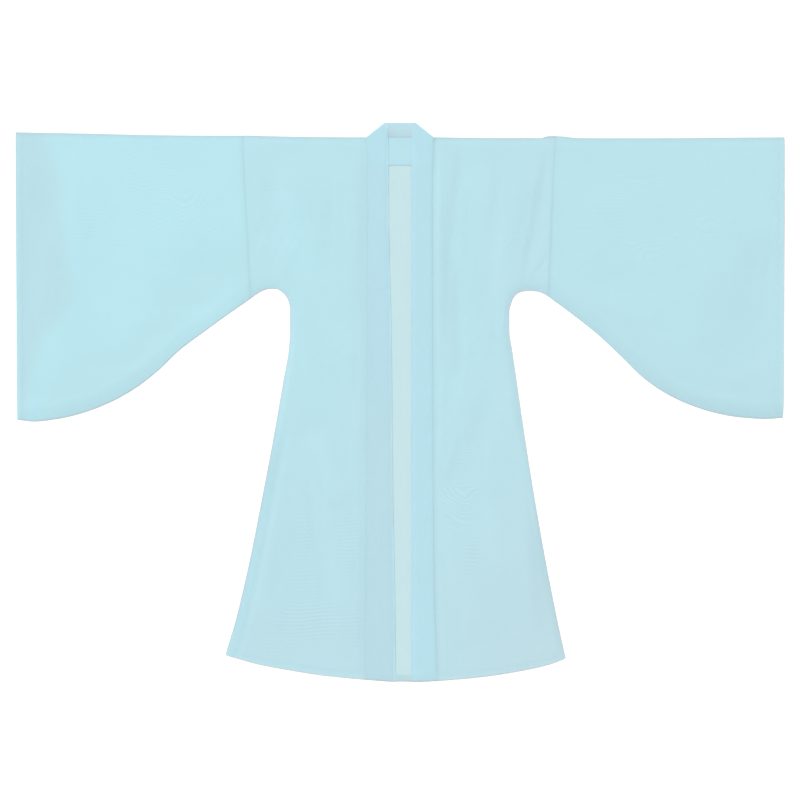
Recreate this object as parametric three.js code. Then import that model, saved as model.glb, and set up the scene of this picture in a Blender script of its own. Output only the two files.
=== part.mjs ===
// Hanfu cardigan: an open-front robe of sheer cloth with a straight collar and wide sleeves,
// laid flat on its back and face up. Millimetres, +Z up.
// Seen from above with the collar at the top, +X is to the right and +Y toward the collar, and
// left and right in the names are as seen from there. The origin is on the surface that the robe
// lies on, under the middle of its outline.
// The back panel, the underlayer of each sleeve and the neck stretch of the collar rest on that
// surface. The fronts, the upper layer of each sleeve and the collar's front stretches lie on them.

import * as THREE from 'three';

// Cloth
const PLY = 1.0;                        // wall of one layer
const GAP = 0.3;                        // between layers, and between pieces at a seam
const UPPER = PLY + GAP;                // underside of an upper layer that lies on a lower one
const SECOND = 2 * UPPER;               // underside of a third layer
const COLLAR_WALL = 2.3;                // the collar strip, a doubled layer
const LOFT = { pressed: 0.9, sleeve: 2.7 };   // how far the upper layer stands off the lower one
const LOFT_MAX = 3.6;                   // and the most it stands off on a fold
const PRESSED_EASE = 20;                // distance over which it comes down to a pressed edge
const SOFT_EASE = 40;                   // and to the soft lower edge of a sleeve

// Robe
const CUFF_TOP = 961;                   // half of the span, cuff to cuff along the top fold
const CUFF_BOTTOM = 957;                // the same at the lower corner of the cuff
const SLEEVE_SEAM_TOP = { left: -394, right: 388 };
const SLEEVE_SEAM_BOTTOM = { left: -373, right: 372 };
const UNDERARM = 231;                   // level where the side seam ends and the underarm starts
const HEM_CORNER = { left: -634, right: -640 };
const HEM_LOWEST = -699;
const FACING = { halfWidth: 37.5, depth: 70 };

// Collar where it turns round the neck, as two folds that slant from the shoulder to its top edge
const NECK = { level: 662, halfWidth: 82.5, top: 698, topHalfWidth: 37.5 };

// Top edge of the robe at each distance from the middle: shoulder, then the fold of the sleeve
const TOP_EDGE = [
  { x: 0, left: 661.7, right: 661.7 },
  { x: 90, left: 661.7, right: 661.7 },
  { x: 200, left: 662.5, right: 660.2 },
  { x: 350, left: 665, right: 660 },
  { x: 374, left: 666, right: 665 },
  { x: 405, left: 666, right: 664 },
  { x: 445, left: 666, right: 660 },
  { x: 595, left: 667, right: 659.5 },
  { x: 800, left: 671.5, right: 661 },
  { x: 961, left: 674.5, right: 662 },
];

// Side seams below the underarm
const SIDE_SEAM = [
  { y: 231, left: -275, right: 273 },
  { y: 181, left: -275, right: 273 },
  { y: 131, left: -278, right: 280 },
  { y: 56, left: -291, right: 291 },
  { y: -94, left: -317, right: 313 },
  { y: -244, left: -345.5, right: 337 },
  { y: -394, left: -375, right: 363.5 },
  { y: -544, left: -410, right: 393 },
  { y: -640, left: -438.5, right: 414 },
];

// Underarm edge from the side seam round to the sleeve seam
const UNDERARM_EDGE = [
  { leftX: -275, leftY: 231, rightX: 273, rightY: 231 },
  { leftX: -277, leftY: 245, rightX: 277.5, rightY: 246 },
  { leftX: -283, leftY: 261, rightX: 284, rightY: 262 },
  { leftX: -295, leftY: 275, rightX: 296, rightY: 273 },
  { leftX: -310, leftY: 283, rightX: 310, rightY: 277.5 },
  { leftX: -326, leftY: 283.5, rightX: 326, rightY: 278 },
  { leftX: -341, leftY: 279.5, rightX: 341, rightY: 277 },
  { leftX: -357, leftY: 271, rightX: 357, rightY: 272 },
  { leftX: -373, leftY: 259.5, rightX: 372, rightY: 263 },
];

// Lower edge of the sleeves at each distance from the middle
const SLEEVE_EDGE = [
  { x: 372, left: 260, right: 263 },
  { x: 430, left: 219.5, right: 220 },
  { x: 490, left: 176, right: 172.5 },
  { x: 550, left: 131, right: 117 },
  { x: 610, left: 74.5, right: 59 },
  { x: 670, left: 29.5, right: 18.5 },
  { x: 730, left: -3, right: -9 },
  { x: 790, left: -26, right: -27.5 },
  { x: 850, left: -41, right: -38 },
  { x: 915, left: -48.5, right: -42 },
  { x: 961, left: -43.5, right: -38.5 },
];

// Hem from side seam to side seam
const HEM = [
  { x: -440, y: -631 },
  { x: -355, y: -655 },
  { x: -275, y: -670 },
  { x: -195, y: -682.5 },
  { x: -90, y: -693 },
  { x: -20, y: -698.5 },
  { x: 40, y: -699 },
  { x: 125, y: -694 },
  { x: 205, y: -686.5 },
  { x: 285, y: -674.5 },
  { x: 365, y: -657.5 },
  { x: 415, y: -640 },
];

// Front stretches of the collar: the seam to the front panel and the free edge
const COLLAR_EDGES = [
  { y: 698, leftSeam: -85, leftEdge: -37.5, rightEdge: 37.5, rightSeam: 85 },
  { y: 680, leftSeam: -85, leftEdge: -30, rightEdge: 30, rightSeam: 85 },
  { y: 640, leftSeam: -83, leftEdge: -28.5, rightEdge: 29, rightSeam: 83 },
  { y: 506, leftSeam: -81, leftEdge: -28.5, rightEdge: 28.5, rightSeam: 80 },
  { y: 156, leftSeam: -82, leftEdge: -21.5, rightEdge: 28.5, rightSeam: 81 },
  { y: -244, leftSeam: -84.5, leftEdge: -17.5, rightEdge: 28.5, rightSeam: 83 },
  { y: -444, leftSeam: -86, leftEdge: -13.5, rightEdge: 28.5, rightSeam: 85 },
  { y: -699, leftSeam: -88, leftEdge: -10.5, rightEdge: 28.5, rightSeam: 93 },
];

// How high the front stretches of the collar lie: on the back, then on the facing and neck stretch
const COLLAR_UNDERSIDE = [
  { y: 698, z: SECOND },
  { y: 545, z: SECOND },
  { y: 470, z: UPPER },
  { y: -699, z: UPPER },
];

// Largest soft folds of the upper layer, from end to end: a ridge stands up, a trough is negative
const FOLDS = [
  { fromX: -815, fromY: 640, toX: -850, toY: 40, width: 80, height: 1.1 },
  { fromX: -905, fromY: 600, toX: -930, toY: 90, width: 75, height: -2.0 },
  { fromX: -740, fromY: 560, toX: -700, toY: 120, width: 85, height: -0.9 },
  { fromX: -700, fromY: 330, toX: -480, toY: 470, width: 100, height: 0.9 },
  { fromX: -640, fromY: 560, toX: -430, toY: 600, width: 80, height: -0.6 },
  { fromX: -560, fromY: 300, toX: -420, toY: 350, width: 60, height: -0.9 },
  { fromX: -325, fromY: 560, toX: -320, toY: 380, width: 48, height: -0.8 },
  { fromX: -276, fromY: 600, toX: -262, toY: 300, width: 60, height: 1.6 },
  { fromX: -182, fromY: 540, toX: -184, toY: 300, width: 52, height: -0.8 },
  { fromX: -135, fromY: 620, toX: -128, toY: 180, width: 46, height: 1.1 },
  { fromX: -225, fromY: 210, toX: -205, toY: -60, width: 62, height: 1.1 },
  { fromX: -222, fromY: -70, toX: -140, toY: -270, width: 70, height: 1.8 },
  { fromX: -262, fromY: -170, toX: -178, toY: -480, width: 58, height: -0.8 },
  { fromX: -320, fromY: -220, toX: -352, toY: -600, width: 70, height: 1.5 },
  { fromX: -130, fromY: -330, toX: -150, toY: -640, width: 60, height: 1.2 },
  { fromX: 118, fromY: 640, toX: 106, toY: 330, width: 44, height: 1.0 },
  { fromX: 150, fromY: 640, toX: 128, toY: 130, width: 50, height: -0.8 },
  { fromX: 196, fromY: 600, toX: 190, toY: 220, width: 60, height: 1.3 },
  { fromX: 372, fromY: 640, toX: 292, toY: 300, width: 60, height: -0.8 },
  { fromX: 320, fromY: 600, toX: 250, toY: 320, width: 58, height: 1.6 },
  { fromX: 205, fromY: 100, toX: 110, toY: -210, width: 64, height: 1.5 },
  { fromX: 182, fromY: -40, toX: 108, toY: -260, width: 54, height: -0.8 },
  { fromX: 250, fromY: 60, toX: 268, toY: -260, width: 64, height: 1.1 },
  { fromX: 170, fromY: -260, toX: 205, toY: -620, width: 76, height: 1.6 },
  { fromX: 318, fromY: -280, toX: 366, toY: -600, width: 56, height: 1.4 },
  { fromX: 430, fromY: 470, toX: 690, toY: 500, width: 90, height: 0.9 },
  { fromX: 470, fromY: 330, toX: 640, toY: 240, width: 70, height: -1.1 },
  { fromX: 640, fromY: 330, toX: 790, toY: 130, width: 85, height: 0.9 },
  { fromX: 790, fromY: 560, toX: 800, toY: 190, width: 80, height: 1.1 },
  { fromX: 905, fromY: 440, toX: 885, toY: 60, width: 80, height: -1.9 },
  { fromX: 720, fromY: 600, toX: 900, toY: 590, width: 70, height: 0.7 },
];

// How finely each piece is divided
const DIVISIONS = {
  yokeRows: 11,
  skirtRows: 25,
  frontColumns: 10,
  backColumns: 8,
  sleeveRings: 25,
  sleeveUpper: 14,
  sleeveUnder: 3,
  sleeveEdge: 4,
  collarFront: 30,
  collarTurn: 6,
  collarNeck: 4,
  collarFold: 4,
};
const CLOSER_AT_SEAM = 1.5;             // sleeve points lie closer together near the lower seam

function mix(a, b, t) {
  return a + (b - a) * t;
}

function steps(count) {
  return Array.from({ length: count + 1 }, (_, i) => i / count);
}

// Smooth curve through one column of a table, by another column, without overshoot
function through(rows, by, of) {
  const points = rows.map((row) => [row[by], row[of]]).sort((a, b) => a[0] - b[0]);
  const slopes = points.slice(1).map((p, i) => (p[1] - points[i][1]) / (p[0] - points[i][0]));
  const tangents = points.map((_, i) => {
    const before = slopes[Math.max(i - 1, 0)];
    const after = slopes[Math.min(i, slopes.length - 1)];
    return before * after <= 0 ? 0 : (2 * before * after) / (before + after);
  });
  return (at) => {
    const last = points.length - 2;
    const next = points.findIndex((p) => at < p[0]);
    const i = next < 0 ? last : Math.min(Math.max(next - 1, 0), last);
    const span = points[i + 1][0] - points[i][0];
    const t = (at - points[i][0]) / span;
    const startShare = (1 + 2 * t) * (1 - t) * (1 - t);
    const endShare = t * t * (3 - 2 * t);
    const startPull = t * (1 - t) * (1 - t) * span * tangents[i];
    const endPull = t * t * (t - 1) * span * tangents[i + 1];
    return startShare * points[i][1] + endShare * points[i + 1][1] + startPull + endPull;
  };
}

const topEdge = { left: through(TOP_EDGE, 'x', 'left'), right: through(TOP_EDGE, 'x', 'right') };
const sideSeam = { left: through(SIDE_SEAM, 'y', 'left'), right: through(SIDE_SEAM, 'y', 'right') };
const sleeveEdge = {
  left: through(SLEEVE_EDGE, 'x', 'left'),
  right: through(SLEEVE_EDGE, 'x', 'right'),
};
const hem = through(HEM, 'x', 'y');
const collarSeam = {
  left: through(COLLAR_EDGES, 'y', 'leftSeam'),
  right: through(COLLAR_EDGES, 'y', 'rightSeam'),
};
const collarEdge = {
  left: through(COLLAR_EDGES, 'y', 'leftEdge'),
  right: through(COLLAR_EDGES, 'y', 'rightEdge'),
};
const collarUnderside = through(COLLAR_UNDERSIDE, 'y', 'z');

const OUTWARD = { left: -1, right: 1 };

function top(x) {
  return topEdge[x < 0 ? 'left' : 'right'](Math.abs(x));
}

// The lines that hold the upper layer down, and how gently it comes down to each
function heldLines() {
  const lines = [];
  const hold = (ease, points) => lines.push({ ease, points });
  for (const side of ['left', 'right']) {
    const out = OUTWARD[side];
    hold(PRESSED_EASE, steps(24).map((t) => [out * t * CUFF_TOP, top(out * t * CUFF_TOP)]));
    hold(SOFT_EASE, steps(24).map((t) => {
      const x = mix(Math.abs(SLEEVE_SEAM_BOTTOM[side]), CUFF_BOTTOM, t);
      return [out * x, sleeveEdge[side](x)];
    }));
    hold(SOFT_EASE, UNDERARM_EDGE.map((row) => [row[side + 'X'], row[side + 'Y']]));
    hold(PRESSED_EASE, steps(16).map((t) => {
      const y = mix(UNDERARM, HEM_CORNER[side], t);
      return [sideSeam[side](y), y];
    }));
    hold(PRESSED_EASE, steps(12).map((t) => {
      const y = mix(NECK.level, HEM_LOWEST, t);
      return [collarSeam[side](y), y];
    }));
  }
  hold(PRESSED_EASE, steps(24).map((t) => {
    const x = mix(HEM[0].x, HEM.at(-1).x, t);
    return [x, hem(x)];
  }));
  return lines;
}

function distanceToSegment(x, y, [ax, ay], [bx, by]) {
  const dx = bx - ax;
  const dy = by - ay;
  const along = ((x - ax) * dx + (y - ay) * dy) / (dx * dx + dy * dy);
  const t = THREE.MathUtils.clamp(along, 0, 1);
  return Math.hypot(x - ax - t * dx, y - ay - t * dy);
}

const HELD = heldLines();

// From 0 on a held line to 1 out of its reach
function freedom(x, y) {
  let least = 1;
  for (const { ease, points } of HELD) {
    for (let i = 1; i < points.length; i += 1) {
      least = Math.min(least, distanceToSegment(x, y, points[i - 1], points[i]) / ease);
    }
  }
  return THREE.MathUtils.smoothstep(least, 0, 1);
}

// A pressed body, and sleeves that are fuller away from the fold along their top
function loft(x, y) {
  const onSleeve = THREE.MathUtils.smoothstep(Math.abs(x), 330, 560);
  const belowFold = THREE.MathUtils.smoothstep(top(x) - y, 0, 300);
  return mix(LOFT.pressed, LOFT.sleeve, onSleeve * belowFold);
}

// Height of one fold at a point: rounded across, and fading toward both ends
function foldHeight(fold, x, y) {
  const dx = fold.toX - fold.fromX;
  const dy = fold.toY - fold.fromY;
  const length = Math.hypot(dx, dy);
  const along = ((x - fold.fromX) * dx + (y - fold.fromY) * dy) / (length * length);
  const across = ((x - fold.fromX) * dy - (y - fold.fromY) * dx) / length;
  const acrossShare = Math.max(0, 1 - (across / fold.width) ** 2) ** 2;
  const alongShare = Math.max(0, 1 - (2 * along - 1) ** 4) ** 2;
  return fold.height * acrossShare * alongShare;
}

// How far the upper layer stands off the lower one
function rise(x, y) {
  const folds = FOLDS.reduce((sum, fold) => sum + foldHeight(fold, x, y), 0);
  return freedom(x, y) * THREE.MathUtils.clamp(loft(x, y) + folds, 0, LOFT_MAX);
}

function body(name, positions, indices, material) {
  const geometry = new THREE.BufferGeometry();
  geometry.setAttribute('position', new THREE.Float32BufferAttribute(positions, 3));
  geometry.setIndex(indices);
  geometry.computeVertexNormals();
  const mesh = new THREE.Mesh(geometry, material);
  mesh.name = name;
  return mesh;
}

// A wall of cloth over patches of a plan. Each patch is rows of [x, y] points, and patches that
// share a line share its points.
function panel(name, patches, underside, wall, material) {
  const plan = [];
  const numbers = new Map();
  const number = ([x, y]) => {
    const key = `${x.toFixed(3)},${y.toFixed(3)}`;
    if (!numbers.has(key)) {
      numbers.set(key, plan.length);
      plan.push([x, y]);
    }
    return numbers.get(key);
  };
  const turn = (a, b, c) => {
    const [[ax, ay], [bx, by], [cx, cy]] = [plan[a], plan[b], plan[c]];
    return (bx - ax) * (cy - ay) - (by - ay) * (cx - ax);
  };
  const triangles = [];
  const add = (a, b, c) => {
    if (a !== b && b !== c && c !== a) triangles.push(turn(a, b, c) > 0 ? [a, b, c] : [a, c, b]);
  };
  for (const rows of patches) {
    for (let i = 1; i < rows.length; i += 1) {
      for (let j = 1; j < rows[i].length; j += 1) {
        const [a, b] = [number(rows[i - 1][j - 1]), number(rows[i - 1][j])];
        const [c, d] = [number(rows[i][j]), number(rows[i][j - 1])];
        add(a, b, c);
        add(a, c, d);
      }
    }
  }

  const count = plan.length;
  const low = plan.map(([x, y]) => [x, y, underside(x, y)]);
  const high = low.map(([x, y, z]) => [x, y, z + wall]);
  const indices = [];
  const edges = new Set(triangles.flatMap(([a, b, c]) => [`${a},${b}`, `${b},${c}`, `${c},${a}`]));
  for (const [a, b, c] of triangles) {
    indices.push(a + count, b + count, c + count, c, b, a);
    for (const [from, to] of [[a, b], [b, c], [c, a]]) {
      if (!edges.has(`${to},${from}`)) {
        indices.push(from, to, to + count, from, to + count, from + count);
      }
    }
  }
  return body(name, [...low, ...high].flat(), indices, material);
}

// A skin over closed rings of points. A tube's wall goes along its outside and back along its
// inside, so its last ring joins its first; otherwise both ends are closed.
function skin(name, rings, joinEnds, material) {
  const size = rings[0].length;
  const indices = [];
  const last = joinEnds ? rings.length : rings.length - 1;
  for (let i = 0; i < last; i += 1) {
    const here = i * size;
    const next = ((i + 1) % rings.length) * size;
    for (let j = 0; j < size; j += 1) {
      const k = (j + 1) % size;
      indices.push(here + j, here + k, next + k, here + j, next + k, next + j);
    }
  }
  if (!joinEnds) {
    const end = (rings.length - 1) * size;
    for (let j = 2; j < size; j += 1) {
      indices.push(0, j, j - 1, end, end + j - 1, end + j);
    }
  }
  const positions = rings.flat(2);
  return body(name, positions, outward(positions, indices), material);
}

// Turns the triangles of a closed body so that they face out of it
function outward(positions, indices) {
  const [a, b, c] = [new THREE.Vector3(), new THREE.Vector3(), new THREE.Vector3()];
  let volume = 0;
  for (let i = 0; i < indices.length; i += 3) {
    a.fromArray(positions, 3 * indices[i]);
    b.fromArray(positions, 3 * indices[i + 1]);
    c.fromArray(positions, 3 * indices[i + 2]);
    volume += a.dot(b.cross(c));
  }
  return volume > 0 ? indices : indices.toReversed();
}

// Plan of half of the body between an inner line and the side seam, with its piece of the arm
function halfBody(side, inner, columns) {
  const yokeLevel = (x, t) => mix(top(x), UNDERARM, t);
  const yoke = steps(DIVISIONS.yokeRows).map((t) => steps(columns).map((u) => {
    const innerX = inner(mix(NECK.level, UNDERARM, t));
    const x = mix(innerX, sideSeam[side](UNDERARM), u);
    return [x, yokeLevel(x, t)];
  }));
  const skirt = steps(DIVISIONS.skirtRows).map((t) => steps(columns).map((u) => {
    const hemX = mix(inner(HEM_LOWEST), sideSeam[side](HEM_CORNER[side]), u);
    const y = mix(UNDERARM, hem(hemX), t);
    const sideX = sideSeam[side](mix(UNDERARM, HEM_CORNER[side], t));
    return [mix(inner(y), sideX, u), y];
  }));
  const arm = steps(DIVISIONS.yokeRows).map((t) => UNDERARM_EDGE.map((row, i) => {
    const share = i / (UNDERARM_EDGE.length - 1);
    const bottomX = row[side + 'X'];
    const topX = mix(sideSeam[side](UNDERARM), SLEEVE_SEAM_TOP[side], share);
    return [mix(topX, bottomX, t), mix(top(topX), row[side + 'Y'], t)];
  }));
  return [yoke, skirt, arm];
}

function back(material) {
  const half = (side) => halfBody(side, () => 0, DIVISIONS.backColumns / 2);
  return panel('back', [...half('left'), ...half('right')], () => 0, PLY, material);
}

function front(side, material) {
  const inner = (y) => collarSeam[side](y) + OUTWARD[side] * GAP;
  const patches = halfBody(side, inner, DIVISIONS.frontColumns);
  return panel(`front_${side}`, patches, (x, y) => UPPER + rise(x, y), PLY, material);
}

// A sleeve is one tube, pressed flat: a fold along the top, a seam along its lower edge, and
// open at the cuff and at the armhole
function sleeve(side, material) {
  const out = OUTWARD[side];
  const outer = (UPPER + PLY) / 2;
  const inner = GAP / 2;
  const ring = (along, wallOffset, edgeRadius) => {
    const topX = mix(out * CUFF_TOP, SLEEVE_SEAM_TOP[side] + out * GAP, along);
    const lowX = mix(out * CUFF_BOTTOM, SLEEVE_SEAM_BOTTOM[side] + out * GAP, along);
    const topY = top(topX) - outer;
    const lowY = sleeveEdge[side](Math.abs(lowX)) + outer;
    const at = (t, z) => {
      const x = mix(lowX, topX, t);
      const y = mix(lowY, topY, t);
      return [x, y, z(x, y)];
    };
    const edge = (x, y, fromAngle) => steps(DIVISIONS.sleeveEdge).slice(1, -1).map((t) => {
      const angle = fromAngle - Math.PI * t;
      return [x, y + edgeRadius * Math.cos(angle), outer + edgeRadius * Math.sin(angle)];
    });
    const upper = steps(DIVISIONS.sleeveUpper).map((t) => {
      return at(t ** CLOSER_AT_SEAM, (x, y) => UPPER + PLY - wallOffset + rise(x, y));
    });
    const under = steps(DIVISIONS.sleeveUnder).map((t) => at(1 - t, () => wallOffset));
    return [
      ...upper,
      ...edge(topX, topY, Math.PI / 2),
      ...under,
      ...edge(lowX, lowY, -Math.PI / 2),
    ];
  };
  const along = steps(DIVISIONS.sleeveRings);
  const outside = along.map((t) => ring(t, 0, outer));
  const inside = along.map((t) => ring(t, PLY, inner)).reverse();
  return skin(`sleeve_${side}`, [...outside, ...inside], true, material);
}

// The collar is one doubled strip. It runs up the left front, folds over at the shoulder, crosses
// the back of the neck underneath, folds back over and runs down the right front. Each section
// goes from the sewn edge to the free edge, which is a fold and so is round.
function collar(material) {
  const half = COLLAR_WALL / 2;
  const turnRadius = (COLLAR_WALL + GAP) / 2;
  const section = (sewn, free, up) => {
    const across = free.clone().sub(sewn).normalize();
    const at = (point, inward, height) => {
      return point.clone().addScaledVector(across, -inward).addScaledVector(up, height).toArray();
    };
    const fold = steps(DIVISIONS.collarFold).map((t) => {
      const angle = Math.PI * (0.5 - t);
      return at(free, half * (1 - Math.cos(angle)), half * Math.sin(angle));
    });
    return [at(sewn, 0, half), ...fold, at(sewn, 0, -half)];
  };

  const up = new THREE.Vector3(0, 0, 1);
  const frontStretch = (side) => steps(DIVISIONS.collarFront).map((t) => {
    const sewnY = mix(hem(collarSeam[side](HEM_LOWEST)), NECK.level, t);
    const freeY = mix(hem(collarEdge[side](HEM_LOWEST)), NECK.top, t);
    const sewn = new THREE.Vector3(collarSeam[side](sewnY), sewnY, collarUnderside(sewnY) + half);
    const free = new THREE.Vector3(collarEdge[side](freeY), freeY, collarUnderside(freeY) + half);
    if (t === 1) sewn.x = OUTWARD[side] * NECK.halfWidth;
    return section(sewn, free, up);
  });
  const turn = (side) => {
    const out = OUTWARD[side];
    const sewn = new THREE.Vector3(out * NECK.halfWidth, NECK.level, half + turnRadius);
    const free = new THREE.Vector3(out * NECK.topHalfWidth, NECK.top, half + turnRadius);
    const away = new THREE.Vector3(out * (free.y - sewn.y), out * (sewn.x - free.x), 0).normalize();
    return steps(DIVISIONS.collarTurn).slice(1).map((t) => {
      const lean = up.clone().multiplyScalar(Math.cos(Math.PI * t));
      lean.addScaledVector(away, Math.sin(Math.PI * t));
      const ends = [sewn, free].map((point) => point.clone().addScaledVector(lean, turnRadius));
      return section(...ends, lean);
    });
  };
  const neckStretch = steps(DIVISIONS.collarNeck).slice(1, -1).map((t) => {
    const sewn = new THREE.Vector3(mix(-NECK.halfWidth, NECK.halfWidth, t), NECK.level, half);
    const free = new THREE.Vector3(mix(-NECK.topHalfWidth, NECK.topHalfWidth, t), NECK.top, half);
    return section(sewn, free, up.clone().negate());
  });
  const rings = [
    ...frontStretch('left'),
    ...turn('left'),
    ...neckStretch,
    ...turn('right').reverse(),
    ...frontStretch('right').reverse(),
  ];
  return skin('collar', rings, false, material);
}

// The rectangle inside the back neck lies on the back panel and hangs from the collar's seam
function neckFacing(material) {
  const seam = NECK.level - 2 * GAP;
  const rows = steps(2).map((t) => steps(2).map((u) => {
    return [mix(-FACING.halfWidth, FACING.halfWidth, u), mix(seam, seam - FACING.depth, t)];
  }));
  return panel('neck_facing', [rows], () => UPPER, PLY, material);
}

function cloth(color) {
  return new THREE.MeshStandardMaterial({ color, roughness: 0.8, metalness: 0 });
}

const robe = new THREE.Group();
robe.add(back(cloth(0xc8e6e6)));
robe.add(front('left', cloth(0xbce3ed)));
robe.add(front('right', cloth(0xbce3ed)));
robe.add(sleeve('left', cloth(0xbce6f0)));
robe.add(sleeve('right', cloth(0xbce3ed)));
robe.add(collar(cloth(0xb9dfe9)));
robe.add(neckFacing(cloth(0xbbe3ee)));

export default robe;
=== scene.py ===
"""Hanfu cardigan of sheer pale blue chiffon, laid flat on its back with its fronts open.

Sizes and places in the tables are millimetres in the part's own frame: +Z up, +Y toward the
collar, +X to the right as seen from above, the surface that the robe lies on at z = 0.
"""

import math

import bmesh
import bpy
import numpy as np
from mathutils import Matrix, Vector


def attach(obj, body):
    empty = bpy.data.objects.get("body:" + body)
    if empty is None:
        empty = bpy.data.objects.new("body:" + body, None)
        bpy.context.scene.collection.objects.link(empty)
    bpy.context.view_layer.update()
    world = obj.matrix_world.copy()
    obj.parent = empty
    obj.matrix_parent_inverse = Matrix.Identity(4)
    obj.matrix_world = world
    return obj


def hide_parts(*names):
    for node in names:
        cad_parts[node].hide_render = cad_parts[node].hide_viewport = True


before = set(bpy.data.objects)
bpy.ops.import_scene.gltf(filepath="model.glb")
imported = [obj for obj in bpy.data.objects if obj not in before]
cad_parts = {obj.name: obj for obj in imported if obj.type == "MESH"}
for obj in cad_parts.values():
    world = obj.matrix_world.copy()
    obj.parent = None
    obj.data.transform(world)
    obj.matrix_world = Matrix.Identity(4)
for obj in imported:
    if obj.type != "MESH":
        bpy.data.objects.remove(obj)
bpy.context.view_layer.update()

MM = 0.001
SIDES = {"left": -1, "right": 1}

# Cloth: one ply, and the level of each layer's middle where the robe lies pressed
PLY = 0.3
MERGE = 0.02
SHARP_ANGLE = 50
BACK_LEVEL = 0.3
FRONT_LEVEL = 1.8
SEWN_BACK_LEVEL = 0.54
SEWN_FRONT_LEVEL = 0.9
SEWN_EASE = 12

# Robe
CUFF_TOP = 961
CUFF_BOTTOM = 957
SLEEVE_SEAM_TOP = {"left": -394, "right": 388}
SLEEVE_SEAM_BOTTOM = {"left": -373, "right": 372}
UNDERARM = 231
HEM_CORNER = {"left": -634, "right": -640}
HEM_LOWEST = -699
FACING_HALF_WIDTH = 37.5
FACING_DEPTH = 70
NECK_LEVEL = 662
NECK_HALF_WIDTH = 82.5
NECK_TOP = 698
NECK_TOP_HALF_WIDTH = 37.5

# Sewing
HEM_TURN = 16
HEM_TURN_CORNER = 9
CUFF_TURN = 14
CUFF_TURN_GAP = 6
BAND_ALLOWANCE = 8
SLEEVE_ALLOWANCE = 9
STRIP_GAP = 0.36
HEM_TURN_GAP = 0.34
SIDE_ALLOWANCE_GAP = 5
SIDE_ALLOWANCE = {"left": {"top": -60, "width": 28}, "right": {"top": 200, "width": 12}}
STITCH = {"length": 2.7, "pitch": 3.4, "width": 0.5, "height": 0.4}
STITCH_INSET = 2
HEM_INSET = 0.5
CUFF_INSET = 0.6
SEAM_INSET = 0.8
NECK_TAPER = 9
OPEN_HALF_WIDTH = 27

# Weave: pitch of its threads and of the ripples and curls that two layers make
WARP_PITCH = 0.34
WEFT_PITCH = 0.37
RIPPLE_PITCH = 9.5
SWIRL_PITCH = 8
COVER = 0.53

# Studio, in metres
LENS = 90
SENSOR = 36
CAMERA_PLACE = (0, 0.004875, 5)
FLOOR_HALF = 30
FLOOR_LEVEL = -0.0004
SUN_PLACE = (-2.2, 3.6, 4.2)
SUN_STRENGTH = 3.2
SUN_SPREAD = 25
SKY_STRENGTH = 0.62

# Top edge: distance from the middle, level on the left, level on the right
TOP_EDGE = [
    (0, 661.7, 661.7),
    (90, 661.7, 661.7),
    (200, 662.5, 660.2),
    (350, 665, 660),
    (374, 666, 665),
    (405, 666, 664),
    (445, 666, 660),
    (595, 667, 659.5),
    (800, 671.5, 661),
    (961, 674.5, 662),
]

# Side seams: level, x on the left, x on the right
SIDE_SEAM = [
    (231, -275, 273),
    (181, -275, 273),
    (131, -278, 280),
    (56, -291, 291),
    (-94, -317, 313),
    (-244, -345.5, 337),
    (-394, -375, 363.5),
    (-544, -410, 393),
    (-640, -438.5, 414),
]

# Underarm edges from the side seam round to the sleeve seam
UNDERARM_EDGE = {
    "left": [
        (-275, 231),
        (-277, 245),
        (-283, 261),
        (-295, 275),
        (-310, 283),
        (-326, 283.5),
        (-341, 279.5),
        (-357, 271),
        (-373, 259.5),
    ],
    "right": [
        (273, 231),
        (277.5, 246),
        (284, 262),
        (296, 273),
        (310, 277.5),
        (326, 278),
        (341, 277),
        (357, 272),
        (372, 263),
    ],
}

# Lower edge of the sleeves: distance from the middle, level on the left, level on the right
SLEEVE_EDGE = [
    (372, 260, 263),
    (430, 219.5, 220),
    (490, 176, 172.5),
    (550, 131, 117),
    (610, 74.5, 59),
    (670, 29.5, 18.5),
    (730, -3, -9),
    (790, -26, -27.5),
    (850, -41, -38),
    (915, -48.5, -42),
    (961, -43.5, -38.5),
]

HEM = [
    (-440, -631),
    (-355, -655),
    (-275, -670),
    (-195, -682.5),
    (-90, -693),
    (-20, -698.5),
    (40, -699),
    (125, -694),
    (205, -686.5),
    (285, -674.5),
    (365, -657.5),
    (415, -640),
]

# Collar's front stretches: level, then x of the left seam, left edge, right edge and right seam
COLLAR_EDGES = [
    (698, -85, -37.5, 37.5, 85),
    (680, -85, -30, 30, 85),
    (640, -83, -28.5, 29, 83),
    (506, -81, -28.5, 28.5, 80),
    (156, -82, -21.5, 28.5, 81),
    (-244, -84.5, -17.5, 28.5, 83),
    (-444, -86, -13.5, 28.5, 85),
    (-699, -88, -10.5, 28.5, 93),
]

# Level of the collar strip's middle, which lies on the back and then on the facing
COLLAR_LEVEL = [(698, 2.1), (600, 2.1), (550, 1.6), (-699, 1.6)]
NECK_STRETCH_LEVEL = 0.9
COLLAR_HALF = 0.5
COLLAR_EDGE_HALF = 0.32
COLLAR_EDGE_DROP = 0.5
FACING_LEVEL = 1.0

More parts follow.
